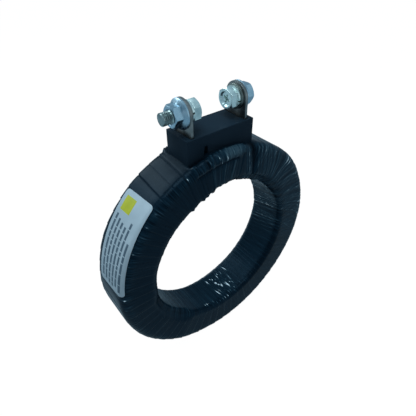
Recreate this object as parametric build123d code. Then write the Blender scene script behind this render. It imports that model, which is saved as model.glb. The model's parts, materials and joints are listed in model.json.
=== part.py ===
from build123d import *
import math
import os

# Ring current transformer, taped, with a terminal block on top. Millimetres.
# Frame: origin at the middle of the window, window axis along Y, +Z up through the terminal block.
# The label is on the -X side of the rim. Terminal S1 is at -X and terminal S2 at +X.

# Driving dimensions
ring_dia = 110.0          # over the tape
window_dia = 74.0         # clear hole for the primary conductor
ring_width = 22.8         # over the tape, along Y
rim_corner = 3.4          # rounding of the section at the rim
window_corner = 4.0       # rounding of the section at the window
corner_folds = 2          # flat folds that the tape takes round a corner
block_length = 33.0       # along X
block_width = 14.0        # along Y
block_top = 62.8          # height over the ring's centre
bolt_height = 70.6        # M5 terminal axes over the ring's centre
tab_reach = 13.3          # from the middle to the middle of a terminal tab
thread_dia = 5.0          # M5

# Layers of the ring, from the outside inwards
tape_build = 1.5
winding_build = 3.0
winding_build_window = 3.8     # turns crowd together in the window

# Tape turns
tape_turns = 36
lap_step = 0.2            # a lap's edge stands this proud of the turn below
window_spare = 0.05       # left inside the window, then trimmed to a true cylinder
bedding = 0.07            # keeps straight laps clear of the rounder ones that they lie on

# Terminal hardware
tab_thick = 1.2
tab_width = 11.8
tab_hole = 5.5
across_flats = 8.0
head_high = 3.3
nut_high = 5.0
nut_flange_dia = 11.8
nut_flange_thick = 0.9
plain_washer = (10.0, 5.3, 1.0)       # outside, hole, thickness
spring_washer = (8.8, 5.1, 1.2)
screw_lengths = {"s1": 12.0, "s2": 10.0}
sides = {"s1": -1, "s2": 1}

# Inside the terminal block
pocket_top = 57.4
pocket_width = 6.4
pocket_wall = 1.8
tail_width = 3.2
tail_foot = 54.6
tail_hole_height = 55.9
lead_r = 0.6
lead_place = 9.5          # where the leads rise, from the middle
sleeve_r = 1.0

# Block foot and the tape that binds it
saddle_depth = 1.0        # the foot beds this deep in the tape
flange_thick = 1.2
flange_length = 38.0
flange_width = 19.0
flange_corner = 2.0
bunched = (-20.0, 11.0, 7, 1.1, 0.3)      # start and end in degrees from the top, laps, build, step
smooth = (11.0, 22.0, 2, 0.6, 0.2)
binding_foot = 51.6       # radius at which the binding ends on the ring's faces
notch_size = (1.4, 1.2, 2.4)
notch_place = (-7.8, -block_width / 2, 56.6)    # wire notch in the foot of the front wall

# Label
label_start = -39.0
label_end = -82.0
label_thick = 0.2
label_span = (-8.6, 7.8)  # along Y
label_corner = 2.0

ring_r = ring_dia / 2
window_r = window_dia / 2
half_width = ring_width / 2
saddle_r = ring_r - saddle_depth


def fold_points(centre, radius, start):
    # Points round a quarter turn, from a start angle in degrees.
    step = 90 / corner_folds
    angles = [math.radians(start + step * i) for i in range(corner_folds + 1)]
    return [(centre[0] + radius * math.cos(a), centre[1] + radius * math.sin(a)) for a in angles]


def taped_section(inner, outer, build):
    # The taped ring's section in the XY plane, x being the radius and y along the window's axis.
    # build is the tape on top of the ring's own skin.
    half = half_width + build
    rim = rim_corner + build
    throat = window_corner + build
    points = fold_points((outer - rim, half - rim), rim, 0)
    points += fold_points((inner + throat, half - throat), throat, 90)
    points += fold_points((inner + throat, throat - half), throat, 180)
    points += fold_points((outer - rim, rim - half), rim, 270)
    return make_face(Polyline(*points, close=True))


def square_section(depth, window_depth):
    # Section of a hidden layer that lies this deep under the tape's skin.
    inner = window_r + window_depth
    outer = ring_r - depth
    high = 2 * (half_width - depth)
    return Pos((inner + outer) / 2, 0) * Rectangle(outer - inner, high)


def solid_ring(section):
    return revolve(section, Axis.Y, 360)


def crosswise(radius):
    # A cylinder on the window's axis, wider than the ring.
    return Rot(90, 0, 0) * Cylinder(radius, 3 * ring_width)


def from_top(shape, degrees):
    # Turns a shape made at +X to an angle from the top, positive towards +X.
    return shape.rotate(Axis.Y, degrees - 90)


def tape_lap(build, rise, step):
    # One straight lap of tape at +X, over a slice of the ring of this many degrees.
    # It tapers from its own proud edge down to where the next lap starts.
    half_turn = math.radians(step / 2)
    reach = (ring_r + build) * math.sin(half_turn)
    inner = window_r * math.cos(half_turn) - rise - window_spare
    outer = (ring_r + build) * math.cos(half_turn)
    section = Pos(0, 0, reach) * taped_section(inner, outer, build)
    taper = math.degrees(math.atan(rise / (2 * reach)))
    lap = extrude(section, 2 * reach, dir=(0, 0, -1), taper=taper)
    far = ring_dia * math.tan(half_turn)
    wedge = make_face(Polyline((0, 0), (ring_dia, far), (ring_dia, -far), close=True))
    return lap & extrude(Plane.XZ * wedge, ring_width, both=True)


def side_by_side(lap, start, step, count):
    laps = [from_top(lap, start + step * (i + 0.5)) for i in range(count)]
    return laps[0].fuse(*laps[1:])


def along_bolt(shape, side):
    # Takes a shape made along +Z, z being the distance from the block's middle, to a terminal's axis.
    return Pos(0, 0, bolt_height) * Rot(0, 90 * side, 0) * shape


winding_in = tape_build + winding_build
winding_in_window = tape_build + winding_build_window


def make_core():
    # Strip-wound silicon steel in its insulating wrap, with the square edges of the strip.
    return solid_ring(square_section(winding_in, winding_in_window))


def make_secondary_winding():
    # The wire's turns as one ring between the core and the tape.
    skin = square_section(tape_build, tape_build)
    return solid_ring(skin - square_section(winding_in, winding_in_window))


def from_winding(section, side, top):
    # Rises from the winding's surface to a height over the ring's centre.
    foot = ring_r - 2 * tape_build - 1
    rising = extrude(Pos(side * lead_place, 0, foot) * section, top - foot)
    return rising - crosswise(ring_r - tape_build)


def make_lead(side):
    # Enamelled wire from the winding up into the block and through the solder hole in a tab's tail.
    upright = from_winding(Circle(lead_r), side, tail_hole_height + lead_r)
    bend = Plane((side * lead_place, 0, tail_hole_height), z_dir=(side, 0, 0))
    return upright + extrude(bend * Circle(lead_r), tab_reach + tab_thick / 2 + 0.5 - lead_place)


def make_sleeve(side):
    return from_winding(Circle(sleeve_r) - Circle(lead_r), side, tail_hole_height - lead_r - 0.2)


def make_tab(side):
    # Flat strip moulded into the block: eye for the screw on top, solder tail below.
    strip = Pos(0, (pocket_top + bolt_height) / 2) * Rectangle(tab_width, bolt_height - pocket_top)
    eye = Pos(0, bolt_height) * Circle(tab_width / 2)
    tail_high = pocket_top - tail_foot
    tail = Pos(0, tail_foot + tail_high / 2) * Rectangle(tail_width, tail_high)
    outline = strip + eye + tail
    outline -= Pos(0, bolt_height) * Circle(tab_hole / 2)
    outline -= Pos(0, tail_hole_height) * Circle(lead_r)
    upright = Plane((side * tab_reach, 0, 0), x_dir=(0, 1, 0), z_dir=(1, 0, 0))
    return extrude(upright * outline, tab_thick / 2, both=True)


def make_block_form():
    # The block's outside: a body on a thin foot that follows the ring.
    foot = ring_r - 10
    body = extrude(Pos(0, 0, foot) * Rectangle(block_length, block_width), block_top - foot)
    body = chamfer(body.faces().sort_by(Axis.Z)[-1].edges(), 0.5)
    flange_plan = RectangleRounded(flange_length, flange_width, flange_corner)
    flange = crosswise(saddle_r + flange_thick) & extrude(Pos(0, 0, foot) * flange_plan, 2 * foot)
    return body + flange - crosswise(saddle_r)


def make_terminal_block(form):
    # Hollow underneath for the leads, with the tabs moulded in.
    pocket_foot = ring_r - 10
    pocket = Box(block_length - 2 * pocket_wall, pocket_width, pocket_top - pocket_foot)
    body = form - Pos(0, 0, (pocket_top + pocket_foot) / 2) * pocket
    body -= Pos(*notch_place) * Box(*notch_size)
    for side in sides.values():
        body -= make_tab(side)
    return body


def make_outer_tape(block_form):
    # Lapped turns round the ring, trimmed to a true round window and hollow for the winding.
    step = 360 / tape_turns
    tape = side_by_side(tape_lap(0.0, lap_step, step), 0.0, step, tape_turns)
    tape -= crosswise(window_r)
    tape -= solid_ring(square_section(tape_build, tape_build))
    for side in sides.values():
        tape -= from_winding(Circle(sleeve_r), side, ring_dia)
    return tape - block_form


def bound_laps(start, end, count, build, rise):
    # Laps over the ring's own tape, from one angle to another.
    step = (end - start) / count
    lap = tape_lap(build, rise, step) - tape_lap(bedding, 0.0, step)
    return side_by_side(lap, start, step, count)


def make_binding_tape(block_form):
    # The last turns bind the block's foot. They bunch into pleats along most of it.
    tape = bound_laps(*bunched) + bound_laps(*smooth)
    return tape - crosswise(binding_foot) - block_form


def make_label():
    # A sticker bent round the rim, with its long side along the rim and its corners rounded.
    low, high = label_span
    chord = 2 * ring_r * math.sin(math.radians((label_start - label_end) / 2))
    plan = Plane.YZ * Pos((low + high) / 2, 0) * RectangleRounded(high - low, chord, label_corner)
    label = (crosswise(ring_r + label_thick) - crosswise(ring_r)) & extrude(plan, ring_dia)
    return from_top(label, (label_start + label_end) / 2)


def washer(dims, start):
    outside, hole, thick = dims
    ring = Circle(outside / 2) - Circle(hole / 2)
    return extrude(Pos(0, 0, start) * ring, thick)


stand = (Align.CENTER, Align.CENTER, Align.MIN)
inner_face = tab_reach - tab_thick / 2
outer_face = tab_reach + tab_thick / 2
plain_start = inner_face - plain_washer[2]
spring_start = plain_start - spring_washer[2]
head_start = spring_start - head_high


def make_plain_washer(side):
    return along_bolt(washer(plain_washer, plain_start), side)


def make_spring_washer(side):
    # A lock washer: a ring cut through on a slant.
    outside, _, thick = spring_washer
    slit = Rot(0, 35, 0) * Box(0.7, outside, 3 * thick)
    ring = washer(spring_washer, spring_start)
    return along_bolt(ring - Pos(0, -outside / 2, spring_start + thick / 2) * slit, side)


def hexagon(start, high):
    return extrude(Pos(0, 0, start) * RegularPolygon(across_flats / 2, 6, major_radius=False), high)


def make_screw(name):
    # Hexagon head with a cross recess in it, on an M5 shank.
    head = hexagon(head_start, head_high)
    arm = Box(4.0, 1.0, 3.0)
    head -= Pos(0, 0, head_start) * (arm + Rot(0, 0, 90) * arm)
    length = screw_lengths[name]
    shank = Pos(0, 0, spring_start) * Cylinder(thread_dia / 2, length, align=stand)
    return along_bolt(head + shank, sides[name])


def make_nut(side):
    # Hexagon nut with its own collar.
    nut = extrude(Pos(0, 0, outer_face) * Circle(nut_flange_dia / 2), nut_flange_thick)
    nut += hexagon(outer_face, nut_high)
    nut -= Pos(0, 0, outer_face + nut_high / 2) * Cylinder(thread_dia / 2, 2 * nut_high)
    return along_bolt(nut, side)


def make_parts():
    block_form = make_block_form()
    parts = {
        "core": make_core(),
        "secondary_winding": make_secondary_winding(),
        "outer_tape": make_outer_tape(block_form),
        "binding_tape": make_binding_tape(block_form),
        "terminal_block": make_terminal_block(block_form),
        "label": make_label(),
    }
    for name, side in sides.items():
        parts[f"terminal_tab_{name}"] = make_tab(side)
        parts[f"lead_{name}"] = make_lead(side)
        parts[f"lead_sleeve_{name}"] = make_sleeve(side)
        parts[f"plain_washer_{name}"] = make_plain_washer(side)
        parts[f"spring_washer_{name}"] = make_spring_washer(side)
        parts[f"screw_{name}"] = make_screw(name)
        parts[f"flange_nut_{name}"] = make_nut(side)
    return parts


os.makedirs("parts", exist_ok=True)
for node, shape in make_parts().items():
    export_step(shape, f"parts/{node}.step")
    print(node, round(shape.volume), "cubic millimetres")
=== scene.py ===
import json
import math

import bpy
import numpy as np
from mathutils import Matrix, Vector


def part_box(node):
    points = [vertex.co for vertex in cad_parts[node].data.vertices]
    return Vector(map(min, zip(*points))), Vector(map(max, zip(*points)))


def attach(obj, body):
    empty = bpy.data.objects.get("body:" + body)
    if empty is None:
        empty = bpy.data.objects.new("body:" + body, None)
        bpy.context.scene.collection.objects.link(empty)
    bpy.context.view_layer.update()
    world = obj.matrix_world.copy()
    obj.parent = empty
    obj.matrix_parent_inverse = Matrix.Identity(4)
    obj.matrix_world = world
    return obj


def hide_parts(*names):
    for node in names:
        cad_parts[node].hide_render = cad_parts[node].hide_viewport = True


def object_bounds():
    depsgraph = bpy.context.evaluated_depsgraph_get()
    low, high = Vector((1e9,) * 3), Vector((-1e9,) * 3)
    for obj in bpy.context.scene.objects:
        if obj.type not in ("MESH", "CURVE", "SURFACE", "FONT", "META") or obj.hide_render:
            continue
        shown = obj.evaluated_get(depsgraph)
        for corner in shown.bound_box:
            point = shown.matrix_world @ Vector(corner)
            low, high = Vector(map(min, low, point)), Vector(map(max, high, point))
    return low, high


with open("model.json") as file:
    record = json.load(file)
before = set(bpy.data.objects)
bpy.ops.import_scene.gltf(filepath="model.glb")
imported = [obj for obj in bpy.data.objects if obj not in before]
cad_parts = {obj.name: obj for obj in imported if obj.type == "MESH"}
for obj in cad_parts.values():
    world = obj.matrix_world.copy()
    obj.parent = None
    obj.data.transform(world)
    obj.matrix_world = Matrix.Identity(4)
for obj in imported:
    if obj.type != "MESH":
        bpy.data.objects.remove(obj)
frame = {"nodes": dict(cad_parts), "record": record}
cadLow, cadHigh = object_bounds()
mm = 0.001
print("frame loaded:", len(frame["nodes"]), "nodes")

# sizes that the frame gives
mountAt = {mount["name"]: mount for mount in frame["record"]["mounts"]}
tapeLow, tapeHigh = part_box("outer_tape")
rimRadius = tapeHigh[0]
halfWidth = tapeHigh[1]
windowRadius = mountAt["primary_window"]["dims"]["r_mm"] * mm
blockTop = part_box("terminal_block")[1][2]
boltHeight = mountAt["terminal_s1"]["pos_m"][2]
sides = {"s1": -1, "s2": 1}


def deselectAll():
    if bpy.context.object and bpy.context.object.mode != "OBJECT":
        bpy.ops.object.mode_set(mode="OBJECT")
    bpy.ops.object.select_all(action="DESELECT")


def workOn(piece):
    deselectAll()
    piece.select_set(True)
    bpy.context.view_layer.objects.active = piece


def editStart(piece, level="VERT"):
    workOn(piece)
    bpy.ops.object.mode_set(mode="EDIT")
    bpy.ops.mesh.select_mode(type=level)
    bpy.ops.mesh.select_all(action="DESELECT")


def editEnd():
    bpy.ops.object.mode_set(mode="OBJECT")


def selectPoints(piece, test):
    # picks vertices by their place, then goes back to edit mode
    bpy.ops.mesh.select_mode(type="VERT")
    bpy.ops.mesh.select_all(action="DESELECT")
    editEnd()
    for point in piece.data.vertices:
        point.select = bool(test(point.co))
    bpy.ops.object.mode_set(mode="EDIT")


def selectEdges(piece, test):
    bpy.ops.mesh.select_mode(type="EDGE")
    bpy.ops.mesh.select_all(action="DESELECT")
    editEnd()
    points = piece.data.vertices
    for edge in piece.data.edges:
        edge.select = bool(test(*[points[i].co for i in edge.vertices]))
    bpy.ops.object.mode_set(mode="EDIT")


def cleanMesh(reach=1e-6):
    # merges doubles and turns the faces outwards
    bpy.ops.mesh.select_all(action="SELECT")
    bpy.ops.mesh.remove_doubles(threshold=reach)
    bpy.ops.mesh.normals_make_consistent(inside=False)


def named(name):
    piece = bpy.context.object
    piece.name = name
    piece.data.name = name
    return piece


def applyAll(piece):
    # modifiers first, then the place goes into the mesh
    workOn(piece)
    for modifier in list(piece.modifiers):
        bpy.ops.object.modifier_apply(modifier=modifier.name)
    bpy.ops.object.transform_apply(location=True, rotation=True, scale=True)


def addBevel(piece, width, segments=3, degrees=30):
    modifier = piece.modifiers.new("soften", "BEVEL")
    modifier.width = width
    modifier.segments = segments
    modifier.limit_method = "ANGLE"
    modifier.angle_limit = math.radians(degrees)
    modifier.harden_normals = False


def combine(piece, other, how):
    # a boolean with another mesh, which is used up
    modifier = piece.modifiers.new(how.lower(), "BOOLEAN")
    modifier.operation = how
    modifier.solver = "EXACT"
    modifier.object = other
    workOn(piece)
    bpy.ops.object.modifier_apply(modifier=modifier.name)
    bpy.data.objects.remove(other, do_unlink=True)


def smoothed(piece):
    # faces that meet at less than 35 degrees shade as one
    workOn(piece)
    bpy.ops.object.shade_smooth_by_angle(angle=math.radians(35))


def handOver(piece, material, slotName, *nodes):
    # finish of the piece, the body that it rides on and the CAD nodes that it stands for
    piece.data.materials.clear()
    piece.data.materials.append(material)
    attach(piece, "root")
    if nodes:
        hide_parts(*nodes)
    return piece


def turned(name, profile, steps=64, turn=360.0):
    # a lathe: the profile's points are (radius, height), extruded one by one and spun round Z
    bpy.ops.mesh.primitive_plane_add(size=mm)
    piece = named(name)
    editStart(piece)
    bpy.ops.mesh.select_all(action="SELECT")
    bpy.ops.mesh.merge(type="CENTER")
    radius, height = profile[0]
    bpy.ops.transform.translate(value=(radius, 0, height))
    for (startR, startZ), (endR, endZ) in zip(profile, profile[1:]):
        move = (endR - startR, 0, endZ - startZ)
        bpy.ops.mesh.extrude_region_move(TRANSFORM_OT_translate={"value": move})
    bpy.ops.mesh.select_all(action="SELECT")
    bpy.ops.mesh.spin(steps=steps, angle=math.radians(turn), center=(0, 0, 0), axis=(0, 0, 1))
    cleanMesh()
    editEnd()
    return piece


def hexagonal(name, flats, low, high, turn=0.0):
    bpy.ops.mesh.primitive_cylinder_add(
        vertices=6, radius=flats / math.sqrt(3), depth=high - low, location=(0, 0, (low + high) / 2))
    piece = named(name)
    piece.rotation_euler.z = math.radians(turn)
    applyAll(piece)
    return piece


def toBolt(piece, side):
    # from the lathe's Z axis to a terminal's axis, Z becoming the way out from the middle
    turn = Matrix.Rotation(math.radians(90 * side), 4, "Y")
    piece.data.transform(Matrix.Translation((0, 0, boltHeight)) @ turn)
    piece.data.update()


def cleanCopy(node):
    # the node's own shape, without the extra edges in its flat faces
    source = bpy.data.objects[node]
    copy = source.copy()
    copy.data = source.data.copy()
    for key in list(copy.keys()):
        del copy[key]
    bpy.context.scene.collection.objects.link(copy)
    copy.name = node + "_shaped"
    copy.hide_render = False
    editStart(copy)
    cleanMesh(2e-6)
    bpy.ops.mesh.dissolve_limited(angle_limit=math.radians(1))
    editEnd()
    return copy


def softenedCopy(node, width):
    copy = cleanCopy(node)
    addBevel(copy, width)
    applyAll(copy)
    return copy


windingSet = {"corner": 6.8 * mm, "segments": 6}


def roundedWinding():
    # the hidden winding, its outer edges well rounded so that it stays under the film
    winding = cleanCopy("secondary_winding")
    radii = [math.hypot(point.co.x, point.co.z) for point in winding.data.vertices]
    reach = 0.1 * mm           # a point this near a wall counts as on it
    limits = (min(radii) + reach, max(radii) - reach)
    side = max(abs(point.co.y) for point in winding.data.vertices) - reach

    def atCorner(place):
        radius = math.hypot(place.x, place.z)
        return abs(place.y) > side and not limits[0] < radius < limits[1]

    editStart(winding, "EDGE")
    selectEdges(winding, lambda a, b: atCorner(a) and atCorner(b) and abs(a.y - b.y) < mm
                and abs(math.hypot(a.x, a.z) - math.hypot(b.x, b.z)) < mm)
    bpy.ops.mesh.bevel(offset=windingSet["corner"], segments=windingSet["segments"], affect="EDGES")
    editEnd()
    smoothed(winding)
    return winding


def newMaterial(name):
    material = bpy.data.materials.new(name)
    material.use_nodes = True
    return material, material.node_tree.nodes, material.node_tree.links


def noiseNode(nodes, links, scale, detail=3.0):
    # noise on the object's own coordinates, in metres
    place = nodes.new("ShaderNodeTexCoord")
    noise = nodes.new("ShaderNodeTexNoise")
    noise.inputs["Scale"].default_value = scale
    noise.inputs["Detail"].default_value = detail
    links.new(place.outputs["Object"], noise.inputs["Vector"])
    return noise


def rampNode(nodes, links, source, stops):
    ramp = nodes.new("ShaderNodeValToRGB")
    links.new(source, ramp.inputs["Fac"])
    points = ramp.color_ramp.elements
    while len(points) < len(stops):
        points.new(0.5)
    for point, (where, colour) in zip(points, stops):
        point.position = where
        point.color = colour if len(colour) == 4 else (*colour, 1.0)
    return ramp


def rangeNode(nodes, links, source, low, high):
    spread = nodes.new("ShaderNodeMapRange")
    spread.inputs["From Min"].default_value = 0.3
    spread.inputs["From Max"].default_value = 0.7
    spread.inputs["To Min"].default_value = low
    spread.inputs["To Max"].default_value = high
    links.new(source, spread.inputs["Value"])
    return spread


def bumpNode(nodes, links, source, strength, distance):
    bump = nodes.new("ShaderNodeBump")
    bump.inputs["Strength"].default_value = strength
    bump.inputs["Distance"].default_value = distance
    links.new(source, bump.inputs["Height"])
    return bump


def speckled(name, dark, light, roughness, scale, metallic=0.0, specular=0.5, grain=0.02 * mm, fine=1800):
    # plain finish with colour that wanders between two tones, uneven gloss and a fine grain
    material, nodes, links = newMaterial(name)
    shader = nodes["Principled BSDF"]
    shader.inputs["Metallic"].default_value = metallic
    shader.inputs["Specular IOR Level"].default_value = specular
    wander = noiseNode(nodes, links, scale)
    tone = rampNode(nodes, links, wander.outputs["Fac"], [(0.3, dark), (0.7, light)])
    links.new(tone.outputs["Color"], shader.inputs["Base Color"])
    gloss = rangeNode(nodes, links, wander.outputs["Fac"], *roughness)
    links.new(gloss.outputs["Result"], shader.inputs["Roughness"])
    surface = noiseNode(nodes, links, fine, 2.0)
    bump = bumpNode(nodes, links, surface.outputs["Fac"], 0.6, grain)
    links.new(bump.outputs["Normal"], shader.inputs["Normal"])
    return material


def mathNode(nodes, links, operation, first, second=None):
    node = nodes.new("ShaderNodeMath")
    node.operation = operation
    for index, value in enumerate((first, second)):
        if isinstance(value, (int, float)):
            node.inputs[index].default_value = value
        elif value is not None:
            links.new(value, node.inputs[index])
    return node.outputs["Value"]


def attributeNode(nodes, name):
    node = nodes.new("ShaderNodeAttribute")
    node.attribute_name = name
    return node.outputs["Fac"]


filmSet = {
    "specular": 0.07,
    "specularTint": (0.42, 0.72, 1.0, 1),
    "gloss": (0.24, 0.38),     # roughness, smoothest and roughest
    "drawnScale": (100.0, 80.0),      # drawn lines for each radian, and for each metre across
    "drawnHeight": 0.09 * mm,
    "streakScale": (2.5, 1600.0),     # the same for the streaks
    "streakHighlightTone": 0.75,
    "raise": 0.2,              # what is added to the painted light and shade before it takes its tone
    # the film's own dark blue sits at the raise, painted shade below it, painted highlights above it up to
    # near white
    "tones": [
        (0.0, (0.0005, 0.0015, 0.003)),
        (0.2, (0.003, 0.011, 0.0205)),
        (0.45, (0.0085, 0.027, 0.044)),
        (0.75, (0.06, 0.108, 0.138)),
        (1.0, (0.75, 0.88, 0.95)),
    ],
}


def makeTapeFilm():
    # black PVC film, finely drawn across the ring, with painted highlights where it is creased and painted
    # shade where shade falls on it
    material, nodes, links = newMaterial("tapeFilm")
    shader = nodes["Principled BSDF"]
    shader.inputs["Specular IOR Level"].default_value = filmSet["specular"]
    shader.inputs["Specular Tint"].default_value = filmSet["specularTint"]

    # the ring's own coordinates: the angle round it, the distance from its axis, and Y
    place = nodes.new("ShaderNodeTexCoord")
    split = nodes.new("ShaderNodeSeparateXYZ")
    links.new(place.outputs["Object"], split.inputs["Vector"])
    angle = mathNode(nodes, links, "ARCTAN2", split.outputs["X"], split.outputs["Z"])
    flat = nodes.new("ShaderNodeCombineXYZ")
    links.new(split.outputs["X"], flat.inputs["X"])
    links.new(split.outputs["Z"], flat.inputs["Y"])
    span = nodes.new("ShaderNodeVectorMath")
    span.operation = "LENGTH"
    links.new(flat.outputs["Vector"], span.inputs[0])

    def ringNoise(scale, detail):
        # noise stretched along or across the ring, in its own round coordinates
        around, across = scale
        lines = nodes.new("ShaderNodeCombineXYZ")
        links.new(mathNode(nodes, links, "MULTIPLY", angle, around), lines.inputs["X"])
        links.new(mathNode(nodes, links, "MULTIPLY", span.outputs["Value"], across), lines.inputs["Y"])
        links.new(mathNode(nodes, links, "MULTIPLY", split.outputs["Y"], across), lines.inputs["Z"])
        noise = nodes.new("ShaderNodeTexNoise")
        noise.inputs["Scale"].default_value = 1.0
        noise.inputs["Detail"].default_value = detail
        links.new(lines.outputs["Vector"], noise.inputs["Vector"])
        return noise.outputs["Fac"]

    centred = mathNode(nodes, links, "SUBTRACT", ringNoise(filmSet["drawnScale"], 2.0), 0.46)
    height = mathNode(nodes, links, "MULTIPLY", centred, attributeNode(nodes, "drawn"))
    bump = bumpNode(nodes, links, height, 1.0, filmSet["drawnHeight"])
    links.new(bump.outputs["Normal"], shader.inputs["Normal"])

    # painted highlights: pale streaks that run round the ring along the window's edge
    streakHighlightTop = (filmSet["streakHighlightTone"],) * 3
    thin = rampNode(nodes, links, ringNoise(filmSet["streakScale"], 0.0),
                    [(0.56, (0, 0, 0)), (0.68, streakHighlightTop)])
    streakHighlight = mathNode(nodes, links, "MULTIPLY", thin.outputs["Color"], attributeNode(nodes, "streakHighlight"))

    # painted light: the painted highlights and shade, the drawn lines' height and the painted highlight
    # streaks all go into the film's colour
    paintedLightAndShade = mathNode(nodes, links, "ADD", attributeNode(nodes, "paintedLightAndShade"), height)
    paintedLightAndShade = mathNode(nodes, links, "ADD", paintedLightAndShade, streakHighlight)
    raised = mathNode(nodes, links, "ADD", paintedLightAndShade, filmSet["raise"])
    tone = rampNode(nodes, links, raised, filmSet["tones"])
    links.new(tone.outputs["Color"], shader.inputs["Base Color"])
    wander = noiseNode(nodes, links, 90, 3.0)
    gloss = rangeNode(nodes, links, wander.outputs["Fac"], *filmSet["gloss"])
    dull = mathNode(nodes, links, "ADD", gloss.outputs["Result"], attributeNode(nodes, "dull"))
    links.new(dull, shader.inputs["Roughness"])
    return material


materials = {
    "tape": makeTapeFilm(),
    "block": speckled("mouldedBlock", (0.0078, 0.0165, 0.027), (0.012, 0.0235, 0.0365), (0.42, 0.55), 60,
                      specular=0.03, grain=0.015 * mm, fine=2400),
    "zinc": speckled("zincPlate", (0.46, 0.56, 0.55), (0.76, 0.86, 0.83), (0.2, 0.36), 260, metallic=1.0),
    "blueZinc": speckled("blueZincPlate", (0.24, 0.36, 0.44), (0.4, 0.53, 0.61), (0.2, 0.36), 260,
                         metallic=1.0),
    "studZinc": speckled("dullStud", (0.12, 0.16, 0.165), (0.3, 0.36, 0.35), (0.25, 0.4), 260, metallic=1.0),
    "tab": speckled("tinnedStrip", (0.15, 0.16, 0.16), (0.28, 0.28, 0.27), (0.3, 0.48), 300, metallic=1.0),
    "dullZinc": speckled("dullZincPlate", (0.12, 0.14, 0.135), (0.27, 0.3, 0.28), (0.3, 0.45), 300,
                         metallic=1.0),
    "labelFilm": speckled("labelFilm", (0.31, 0.385, 0.44), (0.38, 0.46, 0.52), (0.38, 0.5), 120,
                          specular=0.3, grain=0.01 * mm),
    "labelField": speckled("labelField", (0.38, 0.4, 0.018), (0.46, 0.47, 0.03), (0.4, 0.5), 200,
                           specular=0.3, grain=0.01 * mm),
    "labelBars": speckled("labelBars", (0.055, 0.09, 0.125), (0.08, 0.12, 0.16), (0.45, 0.6), 900,
                          specular=0.3, grain=0.01 * mm),
    "core": speckled("coreStrip", (0.2, 0.21, 0.23), (0.34, 0.35, 0.37), (0.35, 0.5), 200, metallic=1.0),
    "wire": speckled("enamelledWire", (0.42, 0.15, 0.06), (0.6, 0.24, 0.1), (0.25, 0.4), 150, metallic=1.0),
    "sleeve": speckled("sleeveWeave", (0.6, 0.58, 0.5), (0.75, 0.73, 0.66), (0.6, 0.75), 900),
}
print("materials made:", len(materials))


tapeSet = {
    "spinSteps": 1440,
    "rimCorner": 3.4 * mm,
    "windowCorner": 4.0 * mm,
    "cornerSegments": 5,
    "cuts": (6, 14, 10),       # cuts in the section's straight sides: rim, window, faces
    "turns": 57,               # laps round the ring
    "lapStep": 0.2 * mm,
    "lapStart": 0.31,          # where the first lap's edge lies, in laps from the top
    "creases": 370,            # pleats round the ring
    "creaseHeight": 0.15 * mm,
    "ridgeStart": -17.5,       # bunched turns at the block's foot, degrees from the top
    "ridgeEnd": 10.4,
    "ridgeHeight": 1.15 * mm,
    "valley": (14.5, 0.42),    # where it meets the rim, and degrees for each mm inwards
    "valleyDeep": 0.8 * mm,
    "gapDeep": 0.7 * mm,       # beside the bunched turns
    "grooveDeep": 0.16 * mm,   # along the laps' edges
    "nickHeight": 0.25 * mm,
    "glintHeight": 0.28 * mm,
    "glints": (13, 12, 16),    # wrinkles in the window: strokes, folds across, row at the edge
    "swell": 0.1 * mm,         # slow unevenness all over
    "crisp": 1.1 * mm,         # how far the window's crisp edge stands out of its rounding
    "seed": 11,
}


def tapeSection():
    # outline of the ring's section in the XY plane, ready to spin round Y
    depth = rimRadius - windowRadius
    bpy.ops.mesh.primitive_plane_add(size=1, location=((rimRadius + windowRadius) / 2, 0, 0))
    ring = named("tape_skin")
    ring.scale = (depth, 2 * halfWidth, 1)
    applyAll(ring)
    middle = (rimRadius + windowRadius) / 2
    editStart(ring)
    selectPoints(ring, lambda p: p.x > middle)
    bpy.ops.mesh.bevel(offset=tapeSet["rimCorner"], segments=tapeSet["cornerSegments"], affect="VERTICES")
    selectPoints(ring, lambda p: p.x < windowRadius + 1e-6)
    bpy.ops.mesh.bevel(offset=tapeSet["windowCorner"], segments=tapeSet["cornerSegments"], affect="VERTICES")
    bpy.ops.mesh.select_all(action="SELECT")
    bpy.ops.mesh.delete(type="ONLY_FACE")
    onRim, onWindow, onFaces = tapeSet["cuts"]
    long = 4 * mm
    selectEdges(ring, lambda a, b: (a - b).length > long and min(a.x, b.x) > middle)
    bpy.ops.mesh.subdivide(number_cuts=onRim)
    selectEdges(ring, lambda a, b: (a - b).length > long and max(a.x, b.x) < middle)
    bpy.ops.mesh.subdivide(number_cuts=onWindow)
    selectEdges(ring, lambda a, b: (a - b).length > long)
    bpy.ops.mesh.subdivide(number_cuts=onFaces)
    return ring


def smoothStep(value, low, high):
    t = np.clip((value - low) / (high - low), 0, 1)
    return t * t * (3 - 2 * t)


def between(value, low, high, soft):
    return smoothStep(value, low - soft, low) * (1 - smoothStep(value, high, high + soft))


class Wander:
    # smooth seeded waves that close round the ring
    def __init__(self, seed, waves, low, high):
        made = np.random.RandomState(seed)
        self.counts = made.randint(low, high, waves)
        self.phases = made.uniform(0, 2 * math.pi, waves)
        self.slants = made.uniform(-1, 1, waves)

    def __call__(self, degrees, across=0.0):
        total = 0.0
        for count, phase, slant in zip(self.counts, self.phases, self.slants):
            total = total + np.sin(np.radians(degrees) * count + phase + slant * across)
        return total / math.sqrt(len(self.counts))


def creaseField(degrees, count, seed, width, heavy=2.0):
    # narrow ridges at uneven places round the ring, each with its own height
    made = np.random.RandomState(seed)
    shift = made.uniform(0.15, 0.85, count)
    height = made.uniform(0, 1, count) ** heavy
    phase = degrees * count / 360.0
    cell = np.floor(phase).astype(int)
    total = np.zeros_like(phase)
    for step in (-1, 0, 1):
        at = (cell + step) % count
        away = phase - (cell + step) - shift[at]
        total += height[at] * np.exp(-(away / width) ** 2)
    return total


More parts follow.
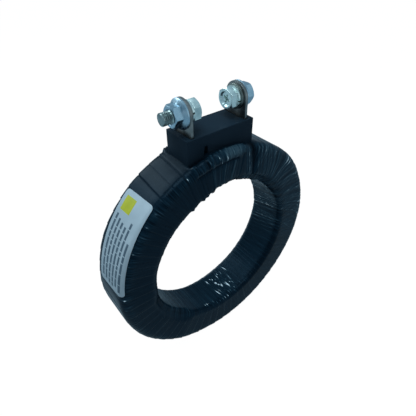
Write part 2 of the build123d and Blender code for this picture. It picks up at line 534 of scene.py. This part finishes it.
def acrossSection(radius, along):
    # way along the section from the middle of the rim over the shoulder and down the face
    corner = tapeSet["rimCorner"]
    side = np.abs(along) - (halfWidth - corner)
    up = radius - (rimRadius - corner)
    turn = np.clip(np.arctan2(np.maximum(side, 0), np.maximum(up, 1e-9)), 0, math.pi / 2)
    return np.minimum(np.abs(along), halfWidth - corner) + corner * turn + np.maximum(-up, 0) * (side > 0)


def bump(value, middle, width):
    return np.exp(-((value - middle) / width) ** 2)


def lapShape(degrees, sectionTurn, across):
    # height of the laps, the groove along each lap's edge and the nicks where an edge goes over the shoulder
    lap = degrees * tapeSet["turns"] / 360 - sectionTurn + tapeSet["lapStart"]
    lap += 0.03 * Wander(3, 5, 7, 40)(degrees)
    part = lap - np.floor(lap)
    uneven = np.clip(0.85 + 0.35 * Wander(4, 4, 3, 30)(degrees), 0, 1.5)
    groove = bump(np.minimum(part, 1 - part), 0, 0.045) * uneven
    strength = np.random.RandomState(71).uniform(0, 1, tapeSet["turns"] + 2) ** 2
    index = np.mod(np.round(lap).astype(int), tapeSet["turns"])
    nick = bump(np.where(part > 0.5, part - 1, part), 0.07, 0.05) * bump(across, 11.2 * mm, 0.8 * mm)
    nick = nick * (degrees < -8)
    return tapeSet["lapStep"] * (0.5 - part) * uneven, groove, nick * strength[index]


def pleatShape(degrees, radius, along, sectionTurn, onFace, onBore):
    # pleats swing round on their way up a face, more and more towards the side
    swing = 0.2 * (degrees - 40) * between(degrees, 12, 100, 8) + 3.0 * Wander(5, 4, 2, 9)(degrees)
    angle = degrees - swing * onFace * (radius - windowRadius - 4 * mm) / (10 * mm)
    angle = angle + 0.25 * Wander(6, 6, 5, 30)(degrees, 3 * sectionTurn)
    angle = angle - 400 * along * onBore * between(degrees, 35, 120, 15)
    wide = np.minimum(creaseField(angle, tapeSet["creases"] // 3, tapeSet["seed"], 0.16, 2.5), 0.45)
    narrow = creaseField(angle, tapeSet["creases"], tapeSet["seed"] + 1, 0.3, 1.6)
    return wide, narrow


def ridgeShape(degrees, across):
    # turns bunched at the foot of the block, with a rounded end and deep uneven pleats
    end = tapeSet["ridgeEnd"] - 0.35e6 * (across - 10.8 * mm) ** 2
    body = smoothStep(degrees, tapeSet["ridgeStart"] - 1.5, tapeSet["ridgeStart"] + 1)
    body *= 1 - smoothStep(degrees, end - 0.2, end + 0.6)
    profile = smoothStep(across, 8.2 * mm, 9.2 * mm) * (1 - smoothStep(across, 12.9 * mm, 13.8 * mm))
    rough = 1 - 0.75 * smoothStep(degrees, -5, 1)
    slanted = degrees + 300 * (across - 10 * mm)
    folds = creaseField(slanted, 165, 29, 0.24, 0.6)
    folds += 0.7 * creaseField(degrees - 420 * (across - 10 * mm), 200, 31, 0.2, 1.2) * rough
    folds = np.clip(folds, 0, 1.3)
    height = tapeSet["ridgeHeight"] * profile * body * (0.7 + rough * (0.45 * folds - 0.2) + 0.12 * folds)
    gap = bump(across, 7.5 * mm, 0.7 * mm) * between(degrees, -17, 12, 1)
    under = bump(across, 14.2 * mm, 0.5 * mm) * body
    return height, body * profile, folds, rough, gap + 0.7 * under


def valleyShape(degrees, across, radius):
    # the valley that the film falls into beyond the ridge's end, wider towards the rim
    start, slope = tapeSet["valley"]
    wide = 1.1 + 0.14 * (radius / mm - 40)
    valley = bump(degrees, start + slope * (56.6 - radius / mm), wide)
    return valley * smoothStep(across, 5 * mm, 9 * mm) * smoothStep(radius, 38 * mm, 42 * mm)


def glintShape(degrees, along, onBore):
    # sharp wrinkles low in the window: strokes along it, short folds across, and a row at the edge
    made = np.random.RandomState(47)
    near = np.mod(degrees, 360)
    total = np.zeros_like(degrees)
    strokes, folds, atEdge = tapeSet["glints"]

    def fold(angle, y, long, slope, strength):
        away = (near - angle) * math.radians(1) * windowRadius - slope * (along - y)
        return strength * bump(away, 0, 0.26 * mm) * bump(along, y, long)

    for index in range(strokes):
        angle, y = 160 + 1.7 * index + made.uniform(-0.8, 0.8), made.uniform(-6, 4.5) * mm
        total += fold(angle, y, made.uniform(0.8, 2.6) * mm, made.normal(0, 0.15), made.uniform(0.5, 1.3))
    for index in range(folds):
        angle, y = made.uniform(160, 179), made.uniform(-8.5, 5) * mm
        total += fold(angle, y, made.uniform(0.3, 0.7) * mm, made.choice([-1, 1]) * made.uniform(0.9, 2), 1.1)
    for index in range(atEdge):
        total += fold(153 + 3 * index + made.uniform(-1, 1), made.uniform(-10.0, -8.6) * mm, 0.5 * mm, 0.7,
                      made.uniform(0.5, 1.2))
    return np.clip(total, 0, 1) * smoothStep(onBore, 0, 0.5)


def lipShape(degrees, radius, along, onFace):
    # the window's edges: crisp low down in front, round at the top, low on the left and on the back,
    # and gathered in scallops left of the top
    corner = tapeSet["windowCorner"]
    near = np.mod(degrees, 360)
    front = (along < 0) * 1.0
    way = np.degrees(np.arctan2(radius - windowRadius - corner, np.abs(along) - halfWidth + corner))
    fold = np.radians(np.clip(45 - np.abs(way + 45), 0, 40))
    crisp = np.minimum(corner * (1 / np.cos(fold) - 1), tapeSet["crisp"])
    lift = crisp * between(near, 66, 210, 14) * front
    lip = bump(radius, windowRadius + 1.4 * mm, 1.9 * mm) * smoothStep(onFace, 0.05, 0.5)
    rounded = 0.1 + 2.0 * between(degrees, -3, 30, 13) + 0.8 * bump(degrees, 18, 10)
    rounded = front * (rounded + 1.4 * between(degrees, -140, -104, 12))
    rounded *= 1 - between(near, 66, 210, 14)
    rounded += (1 - front) * (1.2 * between(near, 18, 230, 15) + 0.9 * bump(near, 215, 22))
    lift -= lip * rounded * mm
    gathers = creaseField(degrees + 0.8 * Wander(9, 3, 4, 12)(degrees), 84, 53, 0.3, 0.35)
    lift += lip * front * np.clip(gathers, 0, 0.9) * mm * (0.1 + 0.75 * between(degrees, -27, 1, 4))
    # painted highlight: where the pale streaks go, on the bore along the front lip at the upper right
    streakHighlight = 0.6 * between(degrees, 24, 50, 6) * between(way, -100, -62, 12) * front
    return lift, way, streakHighlight


def shapeTape(ring):
    # moves the spun skin into laps, pleats and the bunched turns over the block's foot
    mesh = ring.data
    count = len(mesh.vertices)
    points, normals = np.empty(count * 3), np.empty(count * 3)
    mesh.vertices.foreach_get("co", points)
    mesh.vertex_normals.foreach_get("vector", normals)
    points, normals = points.reshape(-1, 3), normals.reshape(-1, 3)
    degrees = np.degrees(np.arctan2(points[:, 0], points[:, 2]))
    radius = np.hypot(points[:, 0], points[:, 2])
    along = points[:, 1]
    depth = (rimRadius - windowRadius) / 2
    sectionTurn = np.arctan2(along / halfWidth, (radius - windowRadius - depth) / depth) / (2 * math.pi)
    outward = (points[:, 0] * normals[:, 0] + points[:, 2] * normals[:, 2]) / radius
    onRim, onBore, onFace = np.clip(outward, 0, 1), np.clip(-outward, 0, 1), np.abs(normals[:, 1])
    across = acrossSection(radius, along)

    lift, groove, nick = lapShape(degrees, sectionTurn, across)
    lift *= 1 - 0.75 * between(degrees, 20, 110, 10) - 0.5 * onBore * (1 - between(degrees, 20, 110, 10))
    lift -= tapeSet["grooveDeep"] * groove * (0.12 + onRim)
    lift += tapeSet["nickHeight"] * nick
    wide, narrow = pleatShape(degrees, radius, along, sectionTurn, onFace, onBore)
    shoulder = bump(across, 12.5 * mm, 2.2 * mm)
    upperRight = between(degrees, 19, 100, 10) * smoothStep(onFace + onBore, 0, 0.6)
    underRidge = between(degrees, -8, 14, 5) * onFace
    lowLeft = bump(np.mod(degrees, 360), 225, 22) * onBore
    lift += tapeSet["creaseHeight"] * wide * (0.2 * onFace + 0.5 * onBore + 1.6 * upperRight + underRidge)
    lift += tapeSet["creaseHeight"] * narrow * (0.4 * shoulder + 0.9 * upperRight + 0.9 * underRidge
                                                + 0.1 * onFace + 0.35 * onBore)

    lipLift, way, streakHighlight = lipShape(degrees, radius, along, onFace)
    lift += lipLift
    ridge, onRidge, folds, rough, gap = ridgeShape(degrees, across)
    valley = valleyShape(degrees, across, radius)
    lift += ridge - tapeSet["gapDeep"] * gap - tapeSet["valleyDeep"] * valley
    glints = glintShape(degrees, along, onBore)
    lift += tapeSet["glintHeight"] * glints
    lift += tapeSet["swell"] * Wander(8, 6, 3, 14)(degrees, 4 * sectionTurn)

    # nothing leaves the box that the solids fill
    moved = points + normals * lift[:, None]
    moved[:, 1] = np.clip(moved[:, 1], cadLow[1], cadHigh[1])
    over = np.hypot(moved[:, 0], moved[:, 2]) / rimRadius
    beyond = (over > 1) & (onRidge < 0.02)
    moved[beyond, 0] /= over[beyond]
    moved[beyond, 2] /= over[beyond]
    mesh.vertices.foreach_set("co", moved.ravel())

    front = (along < 0) * 1.0
    # painted highlights: the nicks over the shoulder and the crests of the pleats, above all on the upper
    # right, under the ridge, on the shoulder and low on the window's left, are paler where light would catch
    # them
    paintedLight = 1.1 * nick + 0.5 * narrow * (upperRight + 0.9 * underRidge + 0.25 * onBore + 0.9 * lowLeft)
    paintedLight += 0.22 * wide * (upperRight + 0.4 * onBore) + 0.15 * shoulder * narrow
    paintedLight *= 1 - 0.8 * onRidge
    # painted highlight on the bunched turns' front: a lit top, and pale crests on the rough folds
    paintedLight += front * onRidge * (0.5 * np.minimum(folds, 1.1) ** 3 * rough + (1 - rough) * (0.4 + 0.14 * folds))
    # painted shade in the valley and the gap, then the painted highlights of the glints
    paintedLight = paintedLight * (1 - np.clip(valley + gap, 0, 1)) + glints

    # painted shade: the film is darkened where shade falls, in the valley, the gap over the bunched turns,
    # beside the window's lip, high on the right of the bore, and on the rim beside the block, where the
    # block's shadow falls
    paintedShade = valley + 0.9 * gap + 0.7 * front * bump(radius, windowRadius + 2.6 * mm, 1.5 * mm) * onFace * (
        between(degrees, 45, 150, 25))
    paintedShade += 0.7 * front * bump(way, -60, 14) * (1 - between(degrees, -80, 40, 10))
    paintedShade += 0.5 * onBore * between(degrees, 15, 50, 12) + 0.5 * onRim * between(degrees, -30, -14, 8)
    paintedLight -= 0.2 * np.clip(paintedShade, 0, 1)
    dull = 0.5 * np.clip(valley + gap + 0.8 * groove * onRim, 0, 1)
    drawn = 0.15 + 1.1 * shoulder + 0.2 * onFace + 0.6 * upperRight + 0.4 * onBore - 0.05 * onRim
    shades = {
        "paintedLightAndShade": np.clip(paintedLight, -0.2, 1),
        "dull": dull,
        "drawn": np.clip(drawn, 0, 1.3),
        "streakHighlight": streakHighlight,
    }
    for name, values in shades.items():
        attribute = mesh.attributes.new(name, "FLOAT", "POINT")
        attribute.data.foreach_set("value", values.astype(np.float32))
    mesh.update()


def makeTape():
    ring = tapeSection()
    bpy.ops.mesh.select_all(action="SELECT")
    bpy.ops.mesh.spin(steps=tapeSet["spinSteps"], angle=2 * math.pi, center=(0, 0, 0), axis=(0, 1, 0))
    cleanMesh()
    editEnd()
    shapeTape(ring)
    workOn(ring)
    bpy.ops.object.shade_smooth()
    return handOver(ring, materials["tape"], "tape", "outer_tape", "binding_tape")


labelSet = {
    "start": -38.7,            # degrees from the top
    "end": -82.2,
    "low": -10.4 * mm,         # along Y, the front edge laps over the shoulder
    "high": 7.1 * mm,
    "skew": -3.0,              # degrees that it is stuck on out of true
    "corner": 1.6 * mm,
    "lift": 0.22 * mm,         # over the rim
    "thick": 0.14 * mm,
    "field": (2.3 * mm, 8.6 * mm, 5.0 * mm, -1.5 * mm),   # from, to along the rim, then the sides in Y
    "fieldCorner": 0.25 * mm,
    "ink": 0.03 * mm,
    "rowStarts": (10.4, 11.6, 12.4, 13.0, 10.2, 17.5),    # mm from the label's upper end, row by row
    "rowHigh": 1.2 * mm,
    "rowEnd": 1.8 * mm,        # margin after the last bar
    "lastBar": 3.2 * mm,       # no bar starts nearer the end
    "barLong": (1.6, 5.2),     # mm, shortest and longest, before the row's end cuts the last one
    "barGap": 0.45 * mm,
    "cell": (1.0 * mm, 0.8 * mm, 1.2 * mm),    # how finely sheet, field and bars are cut to bend
    "seed": 5,
}


def bendOnRim(piece, lift):
    # a flat sheet in XY, x running down the rim from the label's start, goes round the rim and its shoulder
    start = math.radians(labelSet["start"])
    length = rimRadius * math.radians(labelSet["start"] - labelSet["end"])
    pivot = Vector((length / 2, (labelSet["low"] + labelSet["high"]) / 2, 0))
    skew = Matrix.Rotation(math.radians(labelSet["skew"]), 3, "Z")
    corner = tapeSet["rimCorner"]
    for point in piece.data.vertices:
        place = skew @ (point.co - pivot) + pivot
        over = max(abs(place.y) - (halfWidth - corner), 0)
        bend, out = over / corner, corner + lift + place.z
        y = math.copysign(abs(place.y) - over + out * math.sin(bend), place.y)
        radius = rimRadius - corner + out * math.cos(bend)
        angle = start - place.x / rimRadius
        point.co = (radius * math.sin(angle), y, radius * math.cos(angle))
    piece.data.update()


def flatSheet(name, x0, x1, y0, y1, corner, cell):
    # a flat sheet with rounded corners, cut into cells so that it can bend
    bpy.ops.mesh.primitive_plane_add(size=1, location=((x0 + x1) / 2, (y0 + y1) / 2, 0))
    sheet = named(name)
    sheet.scale = (abs(x1 - x0), abs(y1 - y0), 1)
    applyAll(sheet)
    editStart(sheet)
    bpy.ops.mesh.select_all(action="SELECT")
    bpy.ops.mesh.bevel(offset=corner, segments=5, affect="VERTICES")
    cuts = int(abs(x1 - x0) / cell)
    for index in range(1, cuts):
        cut = min(x0, x1) + index * abs(x1 - x0) / cuts
        bpy.ops.mesh.select_all(action="SELECT")
        bpy.ops.mesh.bisect(plane_co=(cut, 0, 0), plane_no=(1, 0, 0))
    # finer over the shoulder: ten cuts on each side, 0.4 mm apart
    for side in (-1, 1):
        for index in range(-1, 9):
            cut = side * (halfWidth - tapeSet["rimCorner"] + 0.4 * index * mm)
            bpy.ops.mesh.select_all(action="SELECT")
            bpy.ops.mesh.bisect(plane_co=(0, cut, 0), plane_no=(0, 1, 0))
    cleanMesh()
    editEnd()
    return sheet


def thicken(sheet, thick):
    workOn(sheet)
    modifier = sheet.modifiers.new("thick", "SOLIDIFY")
    modifier.thickness = thick
    modifier.offset = 1
    bpy.ops.object.modifier_apply(modifier=modifier.name)


def makeLabel():
    length = rimRadius * math.radians(labelSet["start"] - labelSet["end"])
    sheetCell, fieldCell, barCell = labelSet["cell"]
    low, high = labelSet["low"], labelSet["high"]
    sheet = flatSheet("label_sheet", 0, length, low, high, labelSet["corner"], sheetCell)
    thicken(sheet, labelSet["thick"])
    bendOnRim(sheet, labelSet["lift"])
    smoothed(sheet)
    handOver(sheet, materials["labelFilm"], "label", "label")

    top = labelSet["lift"] + labelSet["thick"]
    start, end, sideA, sideB = labelSet["field"]
    field = flatSheet("label_field", start, end, sideB, sideA, labelSet["fieldCorner"], fieldCell)
    thicken(field, labelSet["ink"])
    bendOnRim(field, top)
    smoothed(field)
    handOver(field, materials["labelField"], "label")

    # rows of plain bars in place of print
    made = np.random.RandomState(labelSet["seed"])
    rowEnd = labelSet["rowEnd"]
    rowCount = len(labelSet["rowStarts"])
    bars = []
    for row, rowStart in enumerate(labelSet["rowStarts"]):
        y = high - (high - low) * (row + 0.95) / (rowCount + 0.9)
        x = rowStart * mm
        while x < length - labelSet["lastBar"]:
            wide = min(made.uniform(*labelSet["barLong"]) * mm, length - rowEnd - x)
            bpy.ops.mesh.primitive_grid_add(
                x_subdivisions=max(2, round(wide / barCell)), y_subdivisions=2, size=1,
                location=(x + wide / 2, y, 0))
            bar = named("bar")
            bar.scale = (wide, labelSet["rowHigh"], 1)
            applyAll(bar)
            bars.append(bar)
            x += wide + labelSet["barGap"]
    deselectAll()
    for bar in bars:
        bar.select_set(True)
    bpy.context.view_layer.objects.active = bars[0]
    bpy.ops.object.join()
    rows = named("label_bars")
    thicken(rows, labelSet["ink"])
    bendOnRim(rows, top)
    smoothed(rows)
    handOver(rows, materials["labelBars"], "label")


makeLabel()
print("label laid on")


blockSet = {
    "long": 33.0 * mm,
    "wide": 14.0 * mm,
    "sink": 5.0 * mm,          # how far the walls go down into the tape
    "edge": 0.35 * mm,
    "slotGap": 0.12 * mm,      # round a tab where it comes out of the block
    "slotDeep": 0.8 * mm,
    "crown": (2.2 * mm, 0.06 * mm),    # the top is raised this far from the edge, by this much
    "notch": (2.4 * mm, 2.0 * mm, 4.2 * mm),    # wide at its foot, deep, high
    "notchAt": -7.8 * mm,
    "notchTaper": 0.5,         # its top is this share as wide
}


def boxAt(name, low, high):
    bpy.ops.mesh.primitive_cube_add(size=1, location=[(a + b) / 2 for a, b in zip(low, high)])
    piece = named(name)
    piece.scale = [b - a for a, b in zip(low, high)]
    applyAll(piece)
    return piece


def makeBlock():
    # moulded body with a wire notch in its front wall and a slot round each tab
    length, width, edge = blockSet["long"], blockSet["wide"], blockSet["edge"]
    top = blockTop
    foot = rimRadius - blockSet["sink"]
    block = boxAt("block_body", (-length / 2, -width / 2, foot), (length / 2, width / 2, top))
    editStart(block)
    selectPoints(block, lambda p: p.z > top - edge)
    bpy.ops.mesh.select_mode(type="FACE")
    crownIn, crownUp = blockSet["crown"]
    bpy.ops.mesh.inset(thickness=crownIn)
    bpy.ops.transform.translate(value=(0, 0, crownUp))
    bpy.ops.mesh.select_all(action="SELECT")
    bpy.ops.transform.translate(value=(0, 0, -crownUp))
    editEnd()
    for terminal in sides:
        low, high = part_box("terminal_tab_" + terminal)
        gap = blockSet["slotGap"]
        slot = boxAt("slot", (low[0] - gap, low[1] - gap, top - blockSet["slotDeep"]),
                     (high[0] + gap, high[1] + gap, top + mm))
        combine(block, slot, "DIFFERENCE")
    wide, deep, high = blockSet["notch"]
    notchFoot = rimRadius - mm
    notch = boxAt("notch", (blockSet["notchAt"] - wide / 2, -width / 2 - mm, notchFoot),
                  (blockSet["notchAt"] + wide / 2, -width / 2 + deep, notchFoot + high))
    editStart(notch)
    selectPoints(notch, lambda p: p.z > notchFoot + high / 2)
    bpy.ops.transform.resize(value=(blockSet["notchTaper"], 1, 1))
    editEnd()
    combine(block, notch, "DIFFERENCE")
    addBevel(block, edge, 3, 50)
    applyAll(block)
    smoothed(block)
    handOver(block, materials["block"], "block", "terminal_block")


def makeTab(name):
    tab = softenedCopy("terminal_tab_" + name, 0.15 * mm)
    smoothed(tab)
    handOver(tab, materials["tab"], "tab_metal", "terminal_tab_" + name)


screwSet = {
    "flats": 8.0 * mm,
    "dishRadius": 3.0 * mm,
    "dishDeep": 0.75 * mm,
    "recessLong": 3.4 * mm,
    "recessWide": 0.95 * mm,
    "recessDeep": 1.7 * mm,
    "recessTurn": 20,          # degrees that the cross is turned
    "pitch": 0.8 * mm,
    "threadDeep": 0.42 * mm,
    "threadRadius": 2.5 * mm,
}
nutSet = {
    "flats": 8.0 * mm,
    "flangeThick": 1.0 * mm,
    "flangeEdge": 0.15 * mm,
    "flangeSlope": 1.2 * mm,   # how far in the flange falls off to its edge
    "bore": 2.45 * mm,
    "boreChamfer": 0.5 * mm,
}
washerSet = {
    "hole": 2.65 * mm,
    "edge": 0.12 * mm,
    "springHole": 2.6 * mm,
    "springGap": 9.0,          # degrees between the spring washer's ends
    "springEdge": 0.1 * mm,
}
softEdge = 0.12 * mm           # on screw heads and nuts


def spanOf(node):
    # how far a node of a terminal lies from the middle, near and far
    low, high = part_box(node)
    return sorted((abs(low[0]), abs(high[0])))


def cornerTrim(name, flats, low, high, atEnd):
    # what a lathe leaves of a hexagon: a cylinder with one end coned
    corner = flats / math.sqrt(3) + 0.05 * mm
    face = flats / 2 - 0.1 * mm
    drop = 0.55 * mm
    if atEnd > 0:
        profile = [(0, low - mm), (corner, low - mm), (corner, high - drop), (face, high), (0, high)]
    else:
        profile = [(0, low), (face, low), (corner, low + drop), (corner, high + mm), (0, high + mm)]
    return turned(name, profile)


def makeScrew(name, side):
    near, far = spanOf("screw_" + name)
    under = spanOf("spring_washer_" + name)[0]
    head = hexagonal("screw_" + name + "_shaped", screwSet["flats"], near, under, 30)
    combine(head, cornerTrim("trim", screwSet["flats"], near, under, -1), "INTERSECT")
    radius, deep = screwSet["dishRadius"], screwSet["dishDeep"]
    floorRadius = radius - 0.5 * mm
    dish = turned("dish", [(0, near - mm), (radius, near - mm), (radius, near),
                           (floorRadius, near + deep), (0, near + deep)])
    combine(head, dish, "DIFFERENCE")
    for quarter in (0, 90):
        bpy.ops.mesh.primitive_cube_add(size=1, location=(0, 0, near + screwSet["recessDeep"] / 2))
        arm = named("arm")
        arm.scale = (screwSet["recessLong"], screwSet["recessWide"], screwSet["recessDeep"])
        arm.rotation_euler.z = math.radians(quarter + screwSet["recessTurn"])
        applyAll(arm)
        combine(head, arm, "DIFFERENCE")
    # shank with its thread as a row of grooves turned on a lathe
    root = screwSet["threadRadius"] - screwSet["threadDeep"]
    crest = screwSet["threadRadius"]
    pitch = screwSet["pitch"]
    profile = [(0, under - 0.5 * mm), (crest, under - 0.5 * mm)]
    z = under
    while z < far - pitch:
        profile += [(crest, z + 0.1 * pitch), (root, z + 0.5 * pitch), (crest, z + 0.9 * pitch)]
        z += pitch
    profile += [(crest - 0.05 * mm, far - 0.5 * mm), (root, far - 0.05 * mm)]
    profile += [(root - 0.3 * mm, far), (0, far)]
    shank = turned("shank", profile, 48)
    addBevel(head, softEdge, 2)
    applyAll(head)
    combine(head, shank, "UNION")
    toBolt(head, side)
    smoothed(head)
    handOver(head, materials["zinc"], "zinc", "screw_" + name)
    # the free end of the stud is duller than the head
    head.data.materials.append(materials["studZinc"])
    outer = max(abs(corner[0]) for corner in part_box("flange_nut_" + name))
    for face in head.data.polygons:
        face.material_index = int(abs(face.center.x) > outer - 0.1 * mm)


def makeNut(name, side):
    near, far = spanOf("flange_nut_" + name)
    low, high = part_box("flange_nut_" + name)
    rim = (high[1] - low[1]) / 2
    hexagon = hexagonal("flange_nut_" + name + "_shaped", nutSet["flats"], near + 0.3 * mm, far)
    combine(hexagon, cornerTrim("trim", nutSet["flats"], near, far, 1), "INTERSECT")
    thick, edge, slope = nutSet["flangeThick"], nutSet["flangeEdge"], nutSet["flangeSlope"]
    flange = turned("flange", [(0, near), (rim - edge, near), (rim, near + edge),
                               (rim, near + thick * 0.7), (rim - 0.25 * mm, near + thick),
                               (rim - slope, near + 1.35 * thick),
                               (nutSet["flats"] / 2, near + 1.9 * thick), (0, near + 1.9 * thick)], 96)
    combine(hexagon, flange, "UNION")
    bore, chamfer = nutSet["bore"], nutSet["boreChamfer"]
    drill = turned("drill", [(0, near - mm), (bore + chamfer, near - mm), (bore + chamfer, near),
                             (bore, near + chamfer), (bore, far - chamfer), (bore + chamfer, far),
                             (bore + chamfer, far + mm), (0, far + mm)])
    combine(hexagon, drill, "DIFFERENCE")
    addBevel(hexagon, softEdge, 2)
    applyAll(hexagon)
    toBolt(hexagon, side)
    smoothed(hexagon)
    handOver(hexagon, materials["blueZinc"], "zinc", "flange_nut_" + name)


def makeWasher(name, side):
    node = "plain_washer_" + name
    near, far = spanOf(node)
    low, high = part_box(node)
    rim, hole, edge = (high[1] - low[1]) / 2, washerSet["hole"], washerSet["edge"]
    ring = turned(node + "_shaped", [(hole, near), (rim - 2 * edge, near), (rim - edge, near + 0.3 * edge),
                                     (rim, near + edge), (rim, far - edge), (rim - edge, far - 0.3 * edge),
                                     (rim - 2 * edge, far), (hole, far), (hole, near)], 96)
    toBolt(ring, side)
    smoothed(ring)
    handOver(ring, materials["dullZinc"], "zinc", node)


def makeSpringWasher(name, side):
    # a ring of square wire, cut through, whose ends stand a little apart
    node = "spring_washer_" + name
    near, far = spanOf(node)
    low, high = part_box(node)
    rim, hole, gap = (high[1] - low[1]) / 2, washerSet["springHole"], washerSet["springGap"]
    profile = [(hole, near), (rim, near), (rim, far), (hole, far), (hole, near)]
    ring = turned(node + "_shaped", profile, 72, 360 - gap)
    editStart(ring)
    bpy.ops.mesh.select_mode(type="EDGE")
    bpy.ops.mesh.select_non_manifold()
    bpy.ops.mesh.edge_face_add()
    cleanMesh()
    editEnd()
    ring.data.transform(Matrix.Rotation(math.radians(-90 + gap / 2), 4, "Z"))
    addBevel(ring, washerSet["springEdge"], 2)
    applyAll(ring)
    toBolt(ring, side)
    smoothed(ring)
    handOver(ring, materials["zinc"], "zinc", node)


makeBlock()
for terminal, way in sides.items():
    makeTab(terminal)
    makeScrew(terminal, way)
    makeNut(terminal, way)
    makeWasher(terminal, way)
    makeSpringWasher(terminal, way)
    print("terminal", terminal, "fitted")

# inside, the winding is rounded, and the other pieces keep their shape and get their finish
winding = roundedWinding()
handOver(winding, materials["wire"], "copper", "secondary_winding")
insides = {"core": "core"}
for terminal in sides:
    insides["lead_" + terminal] = "wire"
    insides["lead_sleeve_" + terminal] = "sleeve"
for node, finishName in insides.items():
    nodeObject = bpy.data.objects[node]
    for materialSlot in nodeObject.material_slots:
        materialSlot.material = materials[finishName]


tapeSkin = makeTape()
print("tape wound:", len(tapeSkin.data.polygons), "faces")


stageSet = {
    "floorSize": 6.0,
    "floorGap": 0.3 * mm,      # under the tape
    "floorTone": (0.3, 0.36, 0.4, 1),
    "floorWhite": 0.9,         # share of plain white that the camera sees
    "mirroredWhite": 0.3,      # and that shows in glossy pieces
    "mirroredTone": (0.5, 0.8, 1.0),
    "whiteStrength": 1.1,
    "skyRim": (0.5, 0.52, 0.54),
    "skyLow": (0.05, 0.08, 0.11),
    "skyTop": (0.3, 0.4, 0.47),
    "lightTone": (0.8, 0.95, 1.0),
    "lights": {                # place, width and power
        "key": ((-0.17, 0.44, 0.38), 0.34, 1.75),
        "top": ((-0.12, -0.06, 0.58), 0.3, 1.6),
        "fill": ((0.32, -0.46, 0.22), 0.5, 0.28),
    },
}


def addWhite(nodes, links, kind, plain, output):
    # plain white for the camera, and a cooler share of it in glossy pieces
    light = nodes.new("ShaderNodeLightPath")
    seen = mathNode(nodes, links, "MULTIPLY", light.outputs["Is Camera Ray"], stageSet["floorWhite"])
    for ray in ("Is Glossy Ray", "Is Transmission Ray"):
        share = mathNode(nodes, links, "MULTIPLY", light.outputs[ray], stageSet["mirroredWhite"])
        seen = mathNode(nodes, links, "ADD", seen, share)
    tone = rampNode(nodes, links, light.outputs["Is Camera Ray"],
                    [(0.0, stageSet["mirroredTone"]), (1.0, (1, 1, 1))])
    white = nodes.new(kind)
    white.inputs["Strength"].default_value = stageSet["whiteStrength"]
    links.new(tone.outputs["Color"], white.inputs["Color"])
    mix = nodes.new("ShaderNodeMixShader")
    links.new(seen, mix.inputs["Fac"])
    links.new(plain, mix.inputs[1])
    links.new(white.outputs[0], mix.inputs[2])
    links.new(mix.outputs["Shader"], output)


def makeFloor():
    floorHeight = tapeLow[2] - stageSet["floorGap"]
    bpy.ops.mesh.primitive_plane_add(size=stageSet["floorSize"], location=(0, 0, floorHeight))
    floor = named("floor")
    material, nodes, links = newMaterial("paleFloor")
    shader = nodes["Principled BSDF"]
    shader.inputs["Base Color"].default_value = stageSet["floorTone"]
    shader.inputs["Roughness"].default_value = 0.9
    shader.inputs["Specular IOR Level"].default_value = 0.1
    addWhite(nodes, links, "ShaderNodeEmission", shader.outputs["BSDF"],
             nodes["Material Output"].inputs["Surface"])
    floor.data.materials.append(material)


def makeLight(name, place, size, power):
    # a square soft light that faces the part
    bpy.ops.object.light_add(type="AREA", location=place)
    lamp = bpy.context.object
    lamp.name = name
    lamp.data.shape = "SQUARE"
    lamp.data.size = size
    lamp.data.energy = power
    lamp.data.color = stageSet["lightTone"]
    lamp.rotation_euler = (-Vector(place)).to_track_quat("-Z", "Y").to_euler()


def makeSky():
    # pale round the horizon, dark over it and brighter again overhead
    world = bpy.context.scene.world or bpy.data.worlds.new("studio")
    bpy.context.scene.world = world
    world.use_nodes = True
    nodes, links = world.node_tree.nodes, world.node_tree.links
    back = nodes["Background"]
    place = nodes.new("ShaderNodeTexCoord")
    split = nodes.new("ShaderNodeSeparateXYZ")
    links.new(place.outputs["Generated"], split.inputs["Vector"])
    sky = rampNode(nodes, links, split.outputs["Z"],
                   [(0.06, stageSet["skyRim"]), (0.2, stageSet["skyLow"]), (0.85, stageSet["skyTop"])])
    links.new(sky.outputs["Color"], back.inputs["Color"])
    addWhite(nodes, links, "ShaderNodeBackground", back.outputs["Background"],
             nodes["World Output"].inputs["Surface"])


cameraSet = {
    "place": Vector((-83.292, -104.101, 126.541)) * mm,
    "azimuth": 38.064,         # degrees that it looks round to the right from +Y
    "elevation": 38.646,       # degrees that it looks down
    "roll": -0.538,
    "lens": 31.68,             # mm, for a sensor 36 mm wide
}


def makeCamera():
    bpy.ops.object.camera_add(location=cameraSet["place"])
    camera = bpy.context.object
    camera.name = "camera"
    turn = math.radians(cameraSet["azimuth"])
    tilt = math.radians(cameraSet["elevation"])
    look = Vector((math.sin(turn) * math.cos(tilt), math.cos(turn) * math.cos(tilt), -math.sin(tilt)))
    facing = look.to_track_quat("-Z", "Y").to_matrix()
    camera.rotation_euler = (facing @ Matrix.Rotation(math.radians(cameraSet["roll"]), 3, "Z")).to_euler()
    camera.data.sensor_width = 36.0
    camera.data.lens = cameraSet["lens"]
    camera.data.clip_start = 0.005
    bpy.context.scene.camera = camera


makeFloor()
makeSky()
for lightName, settings in stageSet["lights"].items():
    makeLight(lightName, *settings)
makeCamera()
bpy.context.scene.view_settings.view_transform = "Standard"
print("stage set")
